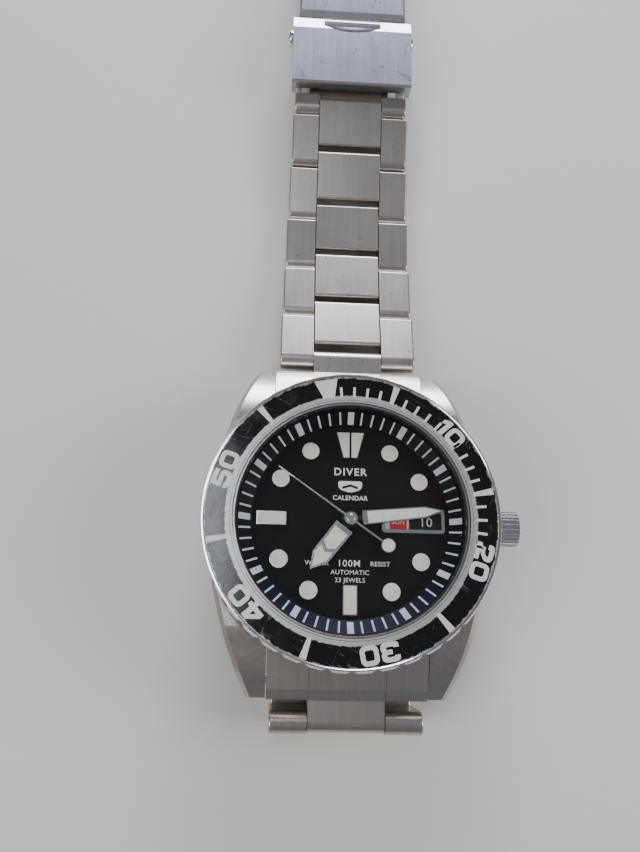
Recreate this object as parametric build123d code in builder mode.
from build123d import *
import os
from math import cos, radians, sin

os.makedirs("parts", exist_ok=True)

# A steel dive watch lying on a flat surface.  Millimetres, +Z up, floor at Z = 0.
#
# The watch head is modelled in its own frame: origin at the centre of the bezel's top
# plane, +X towards three o'clock, +Y towards twelve, +Z out of the dial.  The head leans
# on its six o'clock bracelet half, which is folded under it, and the twelve o'clock half
# runs out along +Y to the closed clasp.  Each bracelet row has its own frame as well:
# origin on its hinge pin, +Y along the bracelet away from the head, +Z to the outer face.

# Head: radii and heights
BEZEL_RADIUS = 20.5
BEZEL_BOTTOM = -4.25
BEZEL_SCALLOPS = 40
INSERT_INNER = 16.2
INSERT_OUTER = 19.95
INSERT_TOP = -0.25
INSERT_BOTTOM = -0.95
CASE_RADIUS = 20.0
CASE_TOP = -4.6
CASE_BOTTOM = -11.2
CASE_BORE = 15.85
NECK_RADIUS = 17.4
LUG_GAP = 22.0
LUG_TIP_X = 13.6
LUG_BEVEL = 0.6
LUG_TIP_Y = 23.5
LUG_TIP_TOP = -8.6
WAIST_RADIUS = 19.3
CRYSTAL_RADIUS = 15.6
CRYSTAL_TOP = -0.2
CRYSTAL_BOTTOM = -1.9
DIAL_RADIUS = 15.7
DIAL_TOP = -3.6
DIAL_BOTTOM = -4.0
CHAPTER_INNER = 13.6
MARKER_HEIGHT = 0.25
DISC_TOP = -4.15
DISC_BOTTOM = -4.4
MOVEMENT_RADIUS = 13.7
PLATE_TOP = -4.6
PLATE_BOTTOM = -7.9
BRIDGE_TOP = -8.1
BRIDGE_BOTTOM = -8.9
ROTOR_TOP = -9.2
BACK_BOTTOM = -12.8
BACK_RADIUS = 17.2
BACK_WINDOW = 11.0

# Dial layout
DOT_RADIUS = 1.25
DOT_CIRCLE = 11.26
WINDOW_START = 4.7
WINDOW_LENGTH = 8.2
WINDOW_HEIGHT = 2.7
MINUTE_ANGLE = 83.4
HOUR_ANGLE = 218.0
SECOND_ANGLE = 305.2
BARREL_X, BARREL_Y, BARREL_RADIUS = 5.5, -6.5, 4.6
BALANCE_X, BALANCE_Y, BALANCE_RADIUS = -7.0, -5.5, 4.4

# Crown
STEM_Z = -7.0
STEM_RADIUS = 0.5
TUBE_RADIUS = 1.2
CROWN_RADIUS = 2.5
CROWN_BASE = 20.4
CROWN_TIP = 25.3
CROWN_FLUTES = 22

# Bracelet
PITCH = 9.1
LINK_THICKNESS = 3.1
LINK_RADIUS = LINK_THICKNESS / 2
FIRST_ROW_WIDTH = 20.9
ROW_TAPER = 0.42
CENTRE_WIDTH = 10.4
SIDE_GAP = 0.08
OUTER_LINK_END = 7.4
CENTRE_LINK_START = 2.3
CENTRE_LINK_TOE = 1.3
FIXED_ROD_AT = 5.15
PIN_RADIUS = 0.45
PIN_CLEARANCE = 0.05
PIN_RECESS = 0.15
PRESSED_GAP = 0.01
END_PIN_Y = 26.5
END_PIN_Z = -9.6
END_LINK_EDGE = 23.7
END_KNUCKLE = 1.35
SPRING_BAR_Y = 21.3
SPRING_BAR_BORE = 0.5
SPRING_BAR_Z = -8.9

# How the watch lies: the head's lean, and each row's slope above the floor
LEAN = 5.6
SLOPES_TWELVE = [-14.6, -9.6, -0.6, 11.4, 9.4]
SLOPES_SIX = [-90, 180, 180, 180, 180, 180]

# Clasp, measured from the spring bar that holds it, along the bracelet and up
TONGUE_LENGTH = 8.0
TONGUE_RADIUS = 1.0
CLASP_NEAR = -4.7
CLASP_FAR = 32.3
CLASP_WIDTH = 18.2
CLASP_WALL = 0.9
COVER_CEILING = 1.2
COVER_TOP = 2.5
COVER_CROWN = 3.1
COVER_HEM = -2.8
FLIP_WIDTH = 20.0
FLIP_NEAR = -5.3
FLIP_TOP = 3.5
FLIP_PIN_Y = 6.7
FLIP_PIN_Z = 2.3
FLIP_KNUCKLE = 0.85
BUTTON_Y = 5.3
BUTTON_RADIUS = 1.45
BUTTON_TIP = 10.85
BUTTON_ROOT = 8.2
BUTTON_TRAVEL = 0.6
BLADE_THICKNESS = 0.9
FOLD_PIN_Y = -2.6
FOLD_PIN_HEIGHT = 1.25
COVER_PIN_Y = 31.0
COVER_PIN_HEIGHT = 3.1
COVER_KNUCKLE = 1.0
STRAP_PIN_Y = 33.6
STRAP_PIN_HEIGHT = 1.2
STRAP_KNUCKLE = 1.15

# --- Frames -------------------------------------------------------------------------


def slope_plane(pin, slope, side):
    """A bracelet piece's frame: on its pin, rising at slope, on the +Y (1) or -Y (-1) side."""
    up = radians(slope)
    return Plane(origin=pin, x_dir=(side, 0, 0), z_dir=(0, -side * sin(up), cos(up)))


def chain_of(pin, slopes, side):
    """The frames of a run of rows, each hinged on the end of the one before."""
    frames = []
    for slope in slopes:
        frames.append(slope_plane(pin, slope, side))
        pin = pin + Vector(0, side * PITCH * cos(radians(slope)), PITCH * sin(radians(slope)))
    return frames, pin


lean = radians(LEAN)
head_height = PITCH + LINK_RADIUS + END_PIN_Y * -sin(lean) - END_PIN_Z * cos(lean)
head_x = (BEZEL_RADIUS - CROWN_TIP) / 2
twelve_reach = END_PIN_Y * cos(lean) + END_PIN_Z * sin(lean)
twelve_reach += sum(PITCH * cos(radians(s)) for s in SLOPES_TWELVE)
far_end = twelve_reach + TONGUE_LENGTH + STRAP_PIN_Y + STRAP_KNUCKLE
near_end = -END_PIN_Y * cos(lean) + END_PIN_Z * sin(lean) - LINK_RADIUS
head_y = -(far_end + near_end) / 2

head = Plane(origin=(head_x, head_y, head_height), x_dir=(1, 0, 0), z_dir=(0, sin(lean), cos(lean)))
twelve_rows, clasp_pin = chain_of(head.from_local_coords(Vector(0, END_PIN_Y, END_PIN_Z)), SLOPES_TWELVE, 1)
six_rows, open_pin = chain_of(head.from_local_coords(Vector(0, -END_PIN_Y, END_PIN_Z)), SLOPES_SIX, -1)
tongue = slope_plane(clasp_pin, 0, 1)
clasp = slope_plane(clasp_pin + Vector(0, TONGUE_LENGTH, 0), 0, 1)
floor = -clasp.origin.Z
crown_axis = Plane(origin=(0, 0, STEM_Z), x_dir=(0, 1, 0), z_dir=(1, 0, 0))
crown_seat = Plane(head.location * crown_axis.location)


def finish(piece, label, seat):
    """Move a piece from its own frame into the model's, name it and write it."""
    piece.part.move(seat.location)
    piece.part.label = label
    export_step(piece.part, f"parts/{label}.step")


# --- Building steps, used inside the blocks below ------------------------------------


def turned(*points, mode=Mode.ADD):
    """Revolve a half section, given as (radius, height), about the local Z axis."""
    with BuildSketch(Plane.XZ) as section:
        with BuildLine():
            Polyline(*points, close=True)
        make_face()
    revolve(section.sketch, axis=Axis.Z, mode=mode)


def tube(inner, outer, bottom, top, mode=Mode.ADD):
    """A ring between two radii and two heights."""
    turned((inner, bottom), (outer, bottom), (outer, top), (inner, top), mode=mode)


def post(x, y, radius, bottom, top, mode=Mode.ADD):
    """A round post, or with SUBTRACT a round hole, standing along the local Z axis."""
    with BuildSketch(Plane.XY.offset(bottom)) as section:
        with Locations((x, y)):
            Circle(radius)
    extrude(section.sketch, amount=top - bottom, mode=mode)


def slab(points, bottom, top, mode=Mode.ADD):
    """A flat plate with a straight-sided outline."""
    with BuildSketch(Plane.XY.offset(bottom)) as section:
        with BuildLine():
            Polyline(*points, close=True)
        make_face()
    extrude(section.sketch, amount=top - bottom, mode=mode)


def cross_rod(y, z, radius, start, end, mode=Mode.ADD):
    """A rod, or with SUBTRACT a hole, along the local X axis from start to end."""
    with BuildSketch(Plane.YZ.offset(start)) as section:
        with Locations((y, z)):
            Circle(radius)
    extrude(section.sketch, amount=end - start, mode=mode)


def cross_bar(y0, y1, z0, z1, start, end, mode=Mode.ADD):
    """A rectangular bar along the local X axis from start to end."""
    with BuildSketch(Plane.YZ.offset(start)) as section:
        with Locations(((y0 + y1) / 2, (z0 + z1) / 2)):
            Rectangle(y1 - y0, z1 - z0)
    extrude(section.sketch, amount=end - start, mode=mode)


def mirrored(build, *sizes, **options):
    """Run a cross_rod or cross_bar between two distances from the middle, on both sides."""
    *place, inner, outer = sizes
    build(*place, inner, outer, **options)
    build(*place, -outer, -inner, **options)


def dial_polar(radius, angle):
    """The point at a radius and a clockwise angle from twelve o'clock."""
    return (radius * sin(radians(angle)), radius * cos(radians(angle)))


# --- Case ---------------------------------------------------------------------------

with BuildPart() as case_middle:
    with BuildSketch(Plane.XY.offset(BACK_BOTTOM)):
        with BuildLine():
            Line((LUG_GAP / 2, 8), (LUG_GAP / 2, LUG_TIP_Y))
            Line((LUG_GAP / 2, LUG_TIP_Y), (LUG_TIP_X, LUG_TIP_Y))
            ThreePointArc((LUG_TIP_X, LUG_TIP_Y), (16.85, 15.5), dial_polar(CASE_RADIUS, 80))
            Line(dial_polar(CASE_RADIUS, 80), (LUG_GAP / 2, 8))
        make_face()
        mirror(about=Plane.YZ)
        mirror(about=Plane.XZ)
        Circle(WAIST_RADIUS)
    extrude(amount=CASE_TOP - BACK_BOTTOM)
    with BuildSketch(Plane.YZ):
        with BuildLine():
            Line((0, CASE_TOP), (14.5, CASE_TOP))
            TangentArc((14.5, CASE_TOP), (LUG_TIP_Y, LUG_TIP_TOP), tangent=(1, -0.05))
            Polyline(
                (LUG_TIP_Y, LUG_TIP_TOP),
                (LUG_TIP_Y, -11.3),
                (22.4, -12.1),
                (17.6, CASE_BOTTOM),
                (0, CASE_BOTTOM),
            )
            Line((0, CASE_BOTTOM), (0, CASE_TOP))
        make_face()
        mirror(about=Plane.YZ)
    extrude(amount=CROWN_TIP, both=True, mode=Mode.INTERSECT)
    # The top outer edge of each lug and shoulder carries a polished bevel.
    chamfer(
        [
            edge
            for edge in case_middle.edges()
            if abs(edge.center().X) > 15 and 8 < abs(edge.center().Y) < 20 and edge.center().Z > -7
        ],
        length=LUG_BEVEL,
    )
    tube(CASE_BORE - 0.05, NECK_RADIUS, CASE_TOP - 0.2, -1.6)
    tube(CASE_BORE - 0.05, 16.1, -1.7, -0.45)
    post(0, 0, CASE_BORE, BACK_BOTTOM, 0, mode=Mode.SUBTRACT)
    post(0, 0, 16.2, CASE_BOTTOM, -9.7, mode=Mode.SUBTRACT)
    tube(16.25, 16.95, CASE_BOTTOM, -10.7, mode=Mode.SUBTRACT)
    for side in (1, -1):
        bar = (side * SPRING_BAR_Y, SPRING_BAR_Z, SPRING_BAR_BORE)
        mirrored(cross_rod, *bar, LUG_GAP / 2, LUG_GAP / 2 + 1.4, mode=Mode.SUBTRACT)
    cross_rod(0, STEM_Z, TUBE_RADIUS, CASE_BORE - 1, CROWN_BASE, mode=Mode.SUBTRACT)
finish(case_middle, "case_middle", head)

with BuildPart() as case_back:
    tube(BACK_WINDOW - 0.6, BACK_RADIUS, BACK_BOTTOM + 0.5, CASE_BOTTOM)
    tube(BACK_WINDOW - 0.6, 16.4, BACK_BOTTOM, BACK_BOTTOM + 0.5)
    tube(15.0, 16.15, CASE_BOTTOM, -9.8)
    tube(0, BACK_WINDOW, -12.4, CASE_BOTTOM, mode=Mode.SUBTRACT)
    for turn in range(6):
        x, y = dial_polar(15.6, 60 * turn)
        post(x, y, 1.0, BACK_BOTTOM, BACK_BOTTOM + 0.6, mode=Mode.SUBTRACT)
finish(case_back, "case_back", head)

with BuildPart() as case_back_glass:
    tube(0, BACK_WINDOW, -12.4, -11.4)
finish(case_back_glass, "case_back_glass", head)

with BuildPart() as case_back_gasket:
    tube(16.3, 16.9, CASE_BOTTOM, -10.75)
finish(case_back_gasket, "case_back_gasket", head)

with BuildPart() as crystal:
    turned(
        (0, CRYSTAL_BOTTOM),
        (CRYSTAL_RADIUS, CRYSTAL_BOTTOM),
        (CRYSTAL_RADIUS, CRYSTAL_TOP - 0.2),
        (CRYSTAL_RADIUS - 0.2, CRYSTAL_TOP),
        (0, CRYSTAL_TOP),
    )
finish(crystal, "crystal", head)

with BuildPart() as crystal_gasket:
    tube(CRYSTAL_RADIUS, CASE_BORE, CRYSTAL_BOTTOM, -0.5)
finish(crystal_gasket, "crystal_gasket", head)

# --- Rotating bezel -------------------------------------------------------------------

with BuildPart() as bezel_ring:
    turned(
        (INSERT_INNER + 0.05, -1.5),
        (INSERT_INNER + 0.05, INSERT_BOTTOM),
        (INSERT_OUTER, INSERT_BOTTOM),
        (INSERT_OUTER, -0.1),
        (INSERT_OUTER + 0.12, 0),
        (BEZEL_RADIUS - 0.25, 0),
        (BEZEL_RADIUS, -0.5),
        (BEZEL_RADIUS, BEZEL_BOTTOM + 0.5),
        (BEZEL_RADIUS - 0.5, BEZEL_BOTTOM),
        (NECK_RADIUS + 0.1, BEZEL_BOTTOM),
        (NECK_RADIUS + 0.1, -1.5),
    )
    with BuildSketch(Plane.XY.offset(BEZEL_BOTTOM)):
        with PolarLocations(BEZEL_RADIUS + 0.85, BEZEL_SCALLOPS):
            Circle(1.1)
    extrude(amount=-BEZEL_BOTTOM, mode=Mode.SUBTRACT)
finish(bezel_ring, "bezel_ring", head)

with BuildPart() as bezel_insert:
    tube(INSERT_INNER, INSERT_OUTER, INSERT_BOTTOM, INSERT_TOP)
finish(bezel_insert, "bezel_insert", head)

with BuildPart() as bezel_click_spring:
    with BuildSketch(Plane.XY.offset(CASE_TOP)):
        with BuildLine():
            CenterArc((0, 0), 19.1, 200, 70)
            CenterArc((0, 0), 18.0, 200, 70)
            Line(Vector(19.1, 0).rotate(Axis.Z, 200), Vector(18.0, 0).rotate(Axis.Z, 200))
            Line(Vector(19.1, 0).rotate(Axis.Z, 270), Vector(18.0, 0).rotate(Axis.Z, 270))
        make_face()
    extrude(amount=0.25)
finish(bezel_click_spring, "bezel_click_spring", head)

# --- Dial -------------------------------------------------------------------------------

with BuildPart() as chapter_ring:
    turned(
        (CHAPTER_INNER, DIAL_TOP),
        (CHAPTER_INNER, DIAL_TOP + 0.2),
        (DIAL_RADIUS - 0.15, -2.2),
        (DIAL_RADIUS - 0.15, CRYSTAL_BOTTOM),
        (DIAL_RADIUS, CRYSTAL_BOTTOM),
        (DIAL_RADIUS, DIAL_TOP),
    )
finish(chapter_ring, "chapter_ring", head)

with BuildPart() as dial:
    tube(1.1, DIAL_RADIUS, DIAL_BOTTOM, DIAL_TOP)
    with BuildSketch(Plane.XY.offset(DIAL_BOTTOM)):
        with Locations((WINDOW_START + WINDOW_LENGTH / 2, 0)):
            Rectangle(WINDOW_LENGTH, WINDOW_HEIGHT)
    extrude(amount=1, mode=Mode.SUBTRACT)
finish(dial, "dial", head)

with BuildPart() as hour_markers:
    for hour in (1, 2, 4, 5, 7, 8, 10, 11):
        x, y = dial_polar(DOT_CIRCLE, 30 * hour)
        post(x, y, DOT_RADIUS, DIAL_TOP, DIAL_TOP + MARKER_HEIGHT)
    for bar in (
        [(0.1, 8.9), (1.0, 8.9), (2.0, 12.7), (0.1, 12.7)],
        [(-0.1, 8.9), (-1.0, 8.9), (-2.0, 12.7), (-0.1, 12.7)],
        [(-0.98, -8.95), (0.98, -8.95), (0.98, -12.95), (-0.98, -12.95)],
        [(-8.85, -0.93), (-12.95, -0.93), (-12.95, 0.93), (-8.85, 0.93)],
    ):
        slab(bar, DIAL_TOP, DIAL_TOP + MARKER_HEIGHT)
finish(hour_markers, "hour_markers", head)

with BuildPart() as date_window_frame:
    with BuildSketch(Plane.XY.offset(DIAL_TOP)):
        with Locations((WINDOW_START + WINDOW_LENGTH / 2, 0)):
            RectangleRounded(WINDOW_LENGTH + 0.6, WINDOW_HEIGHT + 0.6, 0.5)
            Rectangle(WINDOW_LENGTH - 0.3, WINDOW_HEIGHT - 0.4, mode=Mode.SUBTRACT)
    extrude(amount=MARKER_HEIGHT)
finish(date_window_frame, "date_window_frame", head)

with BuildPart() as date_disc:
    tube(8.5, 13.5, DISC_BOTTOM, DISC_TOP)
finish(date_disc, "date_disc", head)

with BuildPart() as day_disc:
    tube(1.3, 8.3, DISC_BOTTOM, DISC_TOP)
finish(day_disc, "day_disc", head)

# --- Hands, each drawn pointing to twelve and turned to its time -------------------------


def hand_seat(angle):
    """The head's frame turned clockwise about the dial axis."""
    return Plane(head.location * Location((0, 0, 0), (0, 0, -angle)))


with BuildPart() as hour_hand:
    right = [(0.35, 0), (0.35, 1.3), (1.4, 1.3), (1.32, 6.7), (0, 8.9)]
    slab(right + [(-x, y) for x, y in reversed(right[:-1])], -3.25, -3.05)
    post(0, 0, 1.2, -3.25, -3.05)
    post(0, 0, 0.95, -4.5, -3.05)
    post(0, 0, 0.65, -4.5, -3.0, mode=Mode.SUBTRACT)
finish(hour_hand, "hour_hand", hand_seat(HOUR_ANGLE))

with BuildPart() as minute_hand:
    right = [(0.35, 0), (0.35, 1.7), (1.0, 1.7), (0.8, 10.5), (0, 13.2)]
    slab(right + [(-x, y) for x, y in reversed(right[:-1])], -2.85, -2.65)
    post(0, 0, 1.0, -2.85, -2.65)
    post(0, 0, 0.58, -4.9, -2.65)
    post(0, 0, 0.32, -4.9, -2.6, mode=Mode.SUBTRACT)
finish(minute_hand, "minute_hand", hand_seat(MINUTE_ANGLE))

with BuildPart() as second_hand:
    needle = [(-0.14, -5.6), (-0.14, 0), (-0.07, 12.4), (0.07, 12.4), (0.14, 0), (0.14, -5.6)]
    slab(needle, -2.45, -2.3)
    post(0, -6.3, 1.0, -2.45, -2.3)
    post(0, 0, 0.9, -2.45, -2.2)
    post(0, 0, 0.25, -5.2, -2.3)
finish(second_hand, "second_hand", hand_seat(SECOND_ANGLE))

# --- Movement -----------------------------------------------------------------------------

with BuildPart() as movement_holder:
    tube(MOVEMENT_RADIUS + 0.05, CASE_BORE - 0.1, -9.5, DIAL_BOTTOM)
    cross_rod(0, STEM_Z, 0.7, MOVEMENT_RADIUS - 1, CASE_BORE + 1, mode=Mode.SUBTRACT)
finish(movement_holder, "movement_holder", head)

with BuildPart() as main_plate:
    tube(0, MOVEMENT_RADIUS, PLATE_BOTTOM, PLATE_TOP)
    post(0, 0, 0.7, -5.6, 0, mode=Mode.SUBTRACT)
    post(BARREL_X, BARREL_Y, BARREL_RADIUS + 0.15, PLATE_BOTTOM, -5.4, mode=Mode.SUBTRACT)
    post(BARREL_X, BARREL_Y, 0.55, PLATE_BOTTOM, -5.0, mode=Mode.SUBTRACT)
    post(BALANCE_X, BALANCE_Y, BALANCE_RADIUS + 0.3, PLATE_BOTTOM, -5.8, mode=Mode.SUBTRACT)
    post(BALANCE_X, BALANCE_Y, 0.3, PLATE_BOTTOM, -5.2, mode=Mode.SUBTRACT)
    slab([(7.4, -1.1), (14, -1.1), (14, 1.1), (7.4, 1.1)], PLATE_BOTTOM, -6.0, mode=Mode.SUBTRACT)
finish(main_plate, "main_plate", head)

with BuildPart() as movement_bridges:
    with BuildSketch(Plane.XY.offset(BRIDGE_BOTTOM)):
        Circle(MOVEMENT_RADIUS - 0.3)
        with Locations((-8, -8)):
            Rectangle(17, 17, mode=Mode.SUBTRACT)
    extrude(amount=BRIDGE_TOP - BRIDGE_BOTTOM)
    slab([(-12.4, -4.6), (-6.0, -4.6), (-6.0, -6.4), (-11.6, -6.4)], BRIDGE_BOTTOM, BRIDGE_TOP)
    post(0, 0, 0.95, -10.4, BRIDGE_BOTTOM)
    post(BARREL_X, BARREL_Y, 0.55, BRIDGE_BOTTOM, BRIDGE_TOP, mode=Mode.SUBTRACT)
    post(BALANCE_X, BALANCE_Y, 0.3, BRIDGE_BOTTOM, BRIDGE_TOP, mode=Mode.SUBTRACT)
    for x, y in ((-10, 5), (4, 11), (11, 4)):
        post(x, y, 0.7, BRIDGE_TOP, PLATE_BOTTOM)
finish(movement_bridges, "movement_bridges", head)

with BuildPart() as mainspring_barrel:
    post(BARREL_X, BARREL_Y, BARREL_RADIUS, -7.85, -5.55)
    post(BARREL_X, BARREL_Y, 0.5, -8.7, -5.1)
finish(mainspring_barrel, "mainspring_barrel", head)

with BuildPart() as balance_wheel:
    post(BALANCE_X, BALANCE_Y, BALANCE_RADIUS, -7.4, -6.8)
    post(BALANCE_X, BALANCE_Y, BALANCE_RADIUS - 0.7, -7.4, -6.8, mode=Mode.SUBTRACT)
    for turn in (0, 60, 120):
        with BuildSketch(Plane.XY.offset(-7.3)):
            with Locations(Location((BALANCE_X, BALANCE_Y, 0), (0, 0, turn))):
                Rectangle(2 * BALANCE_RADIUS - 0.8, 0.5)
        extrude(amount=0.4)
    post(BALANCE_X, BALANCE_Y, 0.7, -7.5, -6.7)
    post(BALANCE_X, BALANCE_Y, 0.25, -8.7, -5.3)
finish(balance_wheel, "balance_wheel", head)

with BuildPart() as rotor:
    with BuildSketch(Plane.XY.offset(ROTOR_TOP - 0.5)):
        Circle(13.2)
        with Locations((0, -14.2)):
            Rectangle(40, 28, mode=Mode.SUBTRACT)
        Circle(2.4)
    extrude(amount=0.5)
    with BuildSketch(Plane.XY.offset(ROTOR_TOP - 1.5)):
        Circle(13.2)
        Circle(11.0, mode=Mode.SUBTRACT)
        with Locations((0, -14.2)):
            Rectangle(40, 28, mode=Mode.SUBTRACT)
    extrude(amount=1.2)
    post(0, 0, 1.0, ROTOR_TOP - 1, ROTOR_TOP + 1, mode=Mode.SUBTRACT)
finish(rotor, "rotor", head)

# --- Crown, in a frame whose +Z runs out along the stem ------------------------------------

with BuildPart() as crown_tube:
    tube(STEM_RADIUS + 0.1, TUBE_RADIUS, CASE_BORE, CROWN_BASE + 1)
finish(crown_tube, "crown_tube", crown_seat)

with BuildPart() as stem:
    turned(
        (0, 8.0),
        (STEM_RADIUS, 8.0),
        (STEM_RADIUS, 9.5),
        (0.35, 9.5),
        (0.35, 10.5),
        (STEM_RADIUS, 10.5),
        (STEM_RADIUS, CROWN_BASE + 2.2),
        (0, CROWN_BASE + 2.2),
    )
finish(stem, "stem", crown_seat)

with BuildPart() as setting_lever:
    with BuildSketch(Plane.XY.offset(9.6)):
        Rectangle(1.8, 1.6)
        Circle(0.4, mode=Mode.SUBTRACT)
    extrude(amount=0.8)
finish(setting_lever, "setting_lever", crown_seat)

with BuildPart() as crown:
    with BuildSketch(Plane.XZ):
        with BuildLine():
            Polyline(
                (0, CROWN_TIP),
                (0, CROWN_BASE + 2.2),
                (TUBE_RADIUS + 0.1, CROWN_BASE + 2.2),
                (TUBE_RADIUS + 0.1, CROWN_BASE),
                (CROWN_RADIUS - 0.2, CROWN_BASE),
                (CROWN_RADIUS, CROWN_BASE + 0.2),
                (CROWN_RADIUS, CROWN_TIP - 1.1),
                (CROWN_RADIUS - 0.35, CROWN_TIP - 0.7),
            )
            ThreePointArc((CROWN_RADIUS - 0.35, CROWN_TIP - 0.7), (1.4, CROWN_TIP - 0.22), (0.5, CROWN_TIP))
            Line((0.5, CROWN_TIP), (0, CROWN_TIP))
        make_face()
    revolve(axis=Axis.Z)
    with BuildSketch(Plane.XY.offset(CROWN_BASE)):
        with PolarLocations(CROWN_RADIUS + 0.12, CROWN_FLUTES):
            Circle(0.27)
    extrude(amount=3.9, mode=Mode.SUBTRACT)
finish(crown, "crown", crown_seat)

# --- Bracelet ends in the lugs --------------------------------------------------------------

with BuildPart() as end_links:
    with BuildSketch(Plane.YZ):
        with BuildLine():
            Polyline(
                (17.5, -4.95),
                (22.8, -6.9),
                (END_LINK_EDGE, -7.7),
                (END_LINK_EDGE, -10.5),
                (22.9, -11.1),
                (17.5, -11.1),
                close=True,
            )
        make_face()
    extrude(amount=LUG_GAP / 2 - 0.12, both=True)
    outer_corners = end_links.edges().filter_by(Axis.X).sort_by(Axis.Y)[-4:]
    chamfer(outer_corners.sort_by(Axis.Z)[-1], length=0.45)
    # A fine seam each side of the middle carries the bracelet's three-piece look up to the case.
    for seam in (-CENTRE_WIDTH / 2, CENTRE_WIDTH / 2):
        with BuildSketch(Plane.YZ.offset(seam)):
            with BuildLine():
                Polyline(
                    (17, -4.6),
                    (22.8, -6.7),
                    (24.2, -7.5),
                    (24.2, -8.4),
                    (22.6, -7.15),
                    (17, -5.1),
                    close=True,
                )
            make_face()
        extrude(amount=0.06, both=True, mode=Mode.SUBTRACT)
    with BuildSketch(Plane.YZ):
        with Locations(((22 + END_PIN_Y) / 2, END_PIN_Z)):
            Rectangle(END_PIN_Y - 22, 2 * END_KNUCKLE)
        with Locations((END_PIN_Y, END_PIN_Z)):
            Circle(END_KNUCKLE)
    extrude(amount=CENTRE_WIDTH / 2, both=True)
    post(0, 0, WAIST_RADIUS + 0.1, BACK_BOTTOM, 0, mode=Mode.SUBTRACT)
    cross_rod(END_PIN_Y, END_PIN_Z, PIN_RADIUS + PIN_CLEARANCE, -8, 8, mode=Mode.SUBTRACT)
    cross_rod(SPRING_BAR_Y, SPRING_BAR_Z, 0.9, -12, 12, mode=Mode.SUBTRACT)
    mirror(about=Plane.XZ)
finish(end_links, "end_links", head)

with BuildPart() as lug_spring_bars:
    for side in (1, -1):
        cross_rod(side * SPRING_BAR_Y, SPRING_BAR_Z, 0.85, -LUG_GAP / 2 + 0.2, LUG_GAP / 2 - 0.2)
        cross_rod(side * SPRING_BAR_Y, SPRING_BAR_Z, 0.45, -LUG_GAP / 2 - 1.3, LUG_GAP / 2 + 1.3)
finish(lug_spring_bars, "lug_spring_bars", head)

# --- Bracelet rows ---------------------------------------------------------------------------


def row_width(index):
    return FIRST_ROW_WIDTH - ROW_TAPER * index


def hinge_pin(width):
    """The hinge pin, pressed into a row's outer links and a little below their faces."""
    length = width / 2 - PIN_RECESS
    cross_rod(0, 0, PIN_RADIUS - PRESSED_GAP, -length, length)


for chain, frames in (("twelve", twelve_rows), ("six", six_rows)):
    for index, frame in enumerate(frames):
        width = row_width(index)
        inner = CENTRE_WIDTH / 2 + SIDE_GAP

        with BuildPart() as outer_links:
            with BuildSketch(Plane.YZ.offset(inner)) as outline:
                with Locations((OUTER_LINK_END / 2, 0)):
                    Rectangle(OUTER_LINK_END, LINK_THICKNESS)
                fillet(outline.vertices().group_by(Axis.X)[-1], radius=0.3)
                Circle(LINK_RADIUS)
            extrude(amount=width / 2 - inner)
            fillet(outer_links.faces().sort_by(Axis.X)[-1].edges(), radius=0.3)
            cross_rod(0, 0, PIN_RADIUS, 0, width, mode=Mode.SUBTRACT)
            cross_rod(FIXED_ROD_AT, 0, PIN_RADIUS, 0, width, mode=Mode.SUBTRACT)
            mirror(about=Plane.YZ)
            hinge_pin(width)
        finish(outer_links, f"{chain}_row_{index + 1}_outer_links", frame)

        with BuildPart() as centre_link:
            with BuildSketch(Plane.YZ) as outline:
                with Locations(((CENTRE_LINK_START + PITCH) / 2, 0)):
                    Rectangle(PITCH - CENTRE_LINK_START, LINK_THICKNESS)
                fillet(outline.vertices().group_by(Axis.X)[0], radius=0.4)
                with Locations((PITCH + CENTRE_LINK_TOE / 2, LINK_RADIUS / 2)):
                    Rectangle(CENTRE_LINK_TOE, LINK_RADIUS)
                fillet(outline.vertices().group_by(Axis.X)[-1].sort_by(Axis.Y)[-1], radius=0.6)
                with Locations((PITCH, 0)):
                    Circle(LINK_RADIUS)
            extrude(amount=CENTRE_WIDTH / 2, both=True)
            fillet(centre_link.faces().sort_by(Axis.X)[-1].edges(), radius=0.15)
            fillet(centre_link.faces().sort_by(Axis.X)[0].edges(), radius=0.15)
            cross_rod(PITCH, 0, PIN_RADIUS + PIN_CLEARANCE, -8, 8, mode=Mode.SUBTRACT)
            cross_rod(FIXED_ROD_AT, 0, PIN_RADIUS, -8, 8, mode=Mode.SUBTRACT)
            rod = width / 2 - PIN_RECESS
            cross_rod(FIXED_ROD_AT, 0, PIN_RADIUS - PRESSED_GAP, -rod, rod)
        finish(centre_link, f"{chain}_row_{index + 1}_centre_link", frame)

# --- Clasp ---------------------------------------------------------------------------------------

tongue_width = row_width(len(SLOPES_TWELVE))

with BuildPart() as clasp_end_link:
    with BuildSketch(Plane.YZ.offset(CENTRE_WIDTH / 2 + SIDE_GAP)) as outline:
        with Locations((0.95, 0)):
            Rectangle(1.9, LINK_THICKNESS)
        fillet(outline.vertices().group_by(Axis.X)[-1], radius=0.3)
        Circle(LINK_RADIUS)
    extrude(amount=tongue_width / 2 - CENTRE_WIDTH / 2 - SIDE_GAP)
    fillet(clasp_end_link.faces().sort_by(Axis.X)[-1].edges(), radius=0.3)
    cross_rod(0, 0, PIN_RADIUS, 0, tongue_width, mode=Mode.SUBTRACT)
    mirror(about=Plane.YZ)
    cross_bar(1.7, 3.0, -1.45, -0.15, -7.9, 7.9)
    cross_bar(2.4, TONGUE_LENGTH, -TONGUE_RADIUS, TONGUE_RADIUS, -CENTRE_WIDTH / 2, CENTRE_WIDTH / 2)
    cross_rod(TONGUE_LENGTH, 0, TONGUE_RADIUS, -CENTRE_WIDTH / 2, CENTRE_WIDTH / 2)
    cross_rod(TONGUE_LENGTH, 0, 0.65, -8, 8, mode=Mode.SUBTRACT)
    hinge_pin(tongue_width)
finish(clasp_end_link, "clasp_end_link", tongue)

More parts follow.
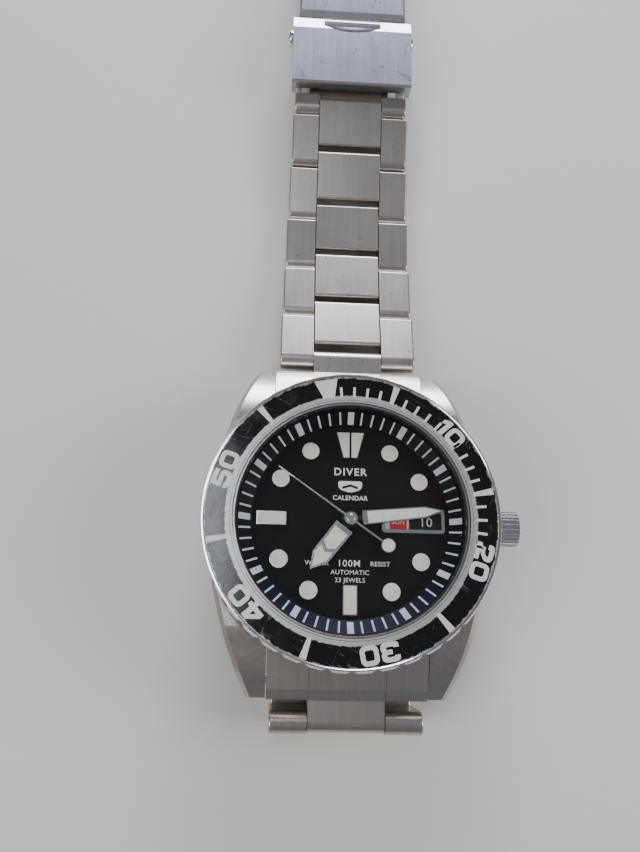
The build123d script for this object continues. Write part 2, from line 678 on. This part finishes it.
with BuildPart() as clasp_cover:
    with BuildSketch(Plane.YZ) as outline:
        with BuildLine():
            Polyline(
                (CLASP_FAR, COVER_HEM),
                (CLASP_NEAR, COVER_HEM),
                (CLASP_NEAR, COVER_TOP - 0.4),
                (CLASP_NEAR + 0.4, COVER_TOP),
                (7.9, COVER_TOP),
                (8.9, COVER_CROWN),
            )
            ThreePointArc((8.9, COVER_CROWN), (22, COVER_CROWN - 0.2), (CLASP_FAR, COVER_CROWN - 1.4))
            Line((CLASP_FAR, COVER_CROWN - 1.4), (CLASP_FAR, COVER_HEM))
        make_face()
    extrude(amount=CLASP_WIDTH / 2, both=True)
    sides = clasp_cover.faces().sort_by(Axis.X)
    top_edges = [side.edges().group_by(Axis.Z)[-1] for side in (sides[0], sides[-1])]
    fillet(top_edges[0] + top_edges[1], radius=0.5)
    with BuildSketch(Plane.YZ) as outline:
        with BuildLine():
            Polyline(
                (CLASP_FAR + 1, floor),
                (CLASP_NEAR - 1, floor),
                (CLASP_NEAR - 1, COVER_CEILING),
                (20, COVER_CEILING),
                (CLASP_FAR + 1, COVER_CEILING - 1.3),
                close=True,
            )
        make_face()
    extrude(amount=CLASP_WIDTH / 2 - CLASP_WALL, both=True, mode=Mode.SUBTRACT)
    mirrored(cross_rod, FLIP_PIN_Y, FLIP_PIN_Z, FLIP_KNUCKLE + 0.1, 4.8, 12, mode=Mode.SUBTRACT)
    mirrored(cross_bar, FLIP_PIN_Y - 0.3, FLIP_PIN_Y + 1.25, FLIP_PIN_Z, 4, 4.8, 12, mode=Mode.SUBTRACT)
    cross_rod(FLIP_PIN_Y, FLIP_PIN_Z, FLIP_KNUCKLE, -4.7, 4.7)
    cross_rod(FLIP_PIN_Y, FLIP_PIN_Z, 0.35, -12, 12, mode=Mode.SUBTRACT)
    cross_rod(BUTTON_Y, 0, BUTTON_RADIUS + 0.05, -12, 12, mode=Mode.SUBTRACT)
    for notch in (-2.2, 0):
        cross_rod(notch, 0, 0.6, -12, 12, mode=Mode.SUBTRACT)
    cross_rod(COVER_PIN_Y, floor + COVER_PIN_HEIGHT, PIN_RADIUS, -12, 12, mode=Mode.SUBTRACT)
finish(clasp_cover, "clasp_cover", clasp)

with BuildPart() as clasp_pins:
    cross_rod(0, 0, 0.6, -CLASP_WIDTH / 2 + 0.1, CLASP_WIDTH / 2 - 0.1)
    cross_rod(FLIP_PIN_Y, FLIP_PIN_Z, 0.35, -FLIP_WIDTH / 2 + 0.2, FLIP_WIDTH / 2 - 0.2)
    pin_reach = CLASP_WIDTH / 2 - 0.1
    cross_rod(COVER_PIN_Y, floor + COVER_PIN_HEIGHT, PIN_RADIUS, -pin_reach, pin_reach)
finish(clasp_pins, "clasp_pins", clasp)

with BuildPart() as flip_lock:
    with BuildSketch(Plane.YZ) as outline:
        with BuildLine():
            Polyline(
                (FLIP_NEAR, 1.6),
                (FLIP_NEAR, FLIP_TOP - 0.3),
                (FLIP_NEAR + 0.3, FLIP_TOP),
                (5.1, FLIP_TOP),
                (7.45, 2.75),
                (FLIP_PIN_Y, FLIP_PIN_Z - 0.5),
                (5.9, COVER_TOP + 0.1),
                (CLASP_NEAR - 0.08, COVER_TOP + 0.1),
                (CLASP_NEAR - 0.08, 1.6),
                close=True,
            )
        make_face()
    extrude(amount=FLIP_WIDTH / 2, both=True)
    mirrored(cross_rod, FLIP_PIN_Y, FLIP_PIN_Z, FLIP_KNUCKLE, 4.8, FLIP_WIDTH / 2)
    with BuildSketch(Plane.YZ) as outline:
        with BuildLine():
            Polyline((5.1, FLIP_TOP), (7.45, 2.75), (8.5, 2.75), (8.5, 4), (5.1, 4), close=True)
        make_face()
    extrude(amount=FLIP_WIDTH, both=True, mode=Mode.SUBTRACT)
    with BuildSketch(Plane.XY.offset(1)):
        with BuildLine():
            Polyline((-4.8, 9), (-4.8, 5.75), (-3.4, 5.1))
            ThreePointArc((-3.4, 5.1), (0, 4.5), (3.4, 5.1))
            Polyline((3.4, 5.1), (4.8, 5.75), (4.8, 9), (-4.8, 9))
        make_face()
    extrude(amount=4, mode=Mode.SUBTRACT)
    mirrored(cross_bar, FLIP_NEAR, 3.2, 0.3, COVER_TOP + 0.2, CLASP_WIDTH / 2 + 0.15, FLIP_WIDTH / 2)
    cross_rod(FLIP_PIN_Y, FLIP_PIN_Z, 0.4, -12, 12, mode=Mode.SUBTRACT)
finish(flip_lock, "flip_lock", clasp)

for side, label in ((-1, "left_button"), (1, "right_button")):
    with BuildPart() as button:
        with BuildSketch(Plane.YZ.offset(side * BUTTON_ROOT)):
            with Locations((BUTTON_Y, 0)):
                Circle(BUTTON_RADIUS)
        extrude(amount=side * (BUTTON_TIP - BUTTON_ROOT))
        tip = button.faces().sort_by(Axis.X)[-1 if side > 0 else 0]
        fillet(tip.edges(), radius=0.6)
    finish(button, label, clasp)


def arched_strip(start, crest, end, width):
    """A blade: a strip of the blade's thickness bent through three points of its lower face."""
    rise = BLADE_THICKNESS
    with BuildSketch(Plane.YZ) as section:
        with BuildLine():
            ThreePointArc(start, crest, end)
            Line(end, (end[0], end[1] + rise))
            ThreePointArc((end[0], end[1] + rise), (crest[0], crest[1] + rise), (start[0], start[1] + rise))
            Line((start[0], start[1] + rise), start)
        make_face()
    extrude(section.sketch, amount=width / 2, both=True)


fold_pin = (FOLD_PIN_Y, floor + FOLD_PIN_HEIGHT)
cover_pin = (COVER_PIN_Y, floor + COVER_PIN_HEIGHT)
strap_pin = (STRAP_PIN_Y, floor + STRAP_PIN_HEIGHT)

with BuildPart() as outer_blade:
    arched_strip((FOLD_PIN_Y, floor + 1.6), (14, floor + 3.0), (COVER_PIN_Y, floor + 2.1), 15.6)
    mirrored(cross_rod, *fold_pin, FOLD_PIN_HEIGHT + 0.2, 3.4, 7.8, mode=Mode.SUBTRACT)
    cross_rod(*fold_pin, FOLD_PIN_HEIGHT, -3.3, 3.3)
    cross_rod(*cover_pin, COVER_KNUCKLE, -7.8, 7.8)
    cross_rod(*cover_pin, PIN_RADIUS + PIN_CLEARANCE, -9, 9, mode=Mode.SUBTRACT)
    cross_rod(*fold_pin, PIN_RADIUS + PIN_CLEARANCE, -9, 9, mode=Mode.SUBTRACT)
    mirrored(cross_bar, 4.4, 6.2, floor + 2.9, 0.9, 6.0, 7.4)
finish(outer_blade, "outer_blade", clasp)

with BuildPart() as inner_blade:
    arched_strip((FOLD_PIN_Y, floor), (15, floor + 0.8), (STRAP_PIN_Y, floor + 0.05), 13.6)
    cross_rod(*fold_pin, FOLD_PIN_HEIGHT + 0.15, -3.4, 3.4, mode=Mode.SUBTRACT)
    mirrored(cross_rod, *fold_pin, FOLD_PIN_HEIGHT, 3.45, 6.8)
    cross_bar(STRAP_PIN_Y - 1.7, STRAP_PIN_Y + 2, floor, floor + 3, -5.3, 5.3, mode=Mode.SUBTRACT)
    mirrored(cross_rod, *strap_pin, STRAP_KNUCKLE, 5.3, 6.8)
    cross_rod(*strap_pin, PIN_RADIUS + PIN_CLEARANCE, -9, 9, mode=Mode.SUBTRACT)
    cross_rod(*fold_pin, PIN_RADIUS, -9, 9, mode=Mode.SUBTRACT)
    cross_rod(*fold_pin, PIN_RADIUS - PRESSED_GAP, -6.6, 6.6)
finish(inner_blade, "inner_blade", clasp)
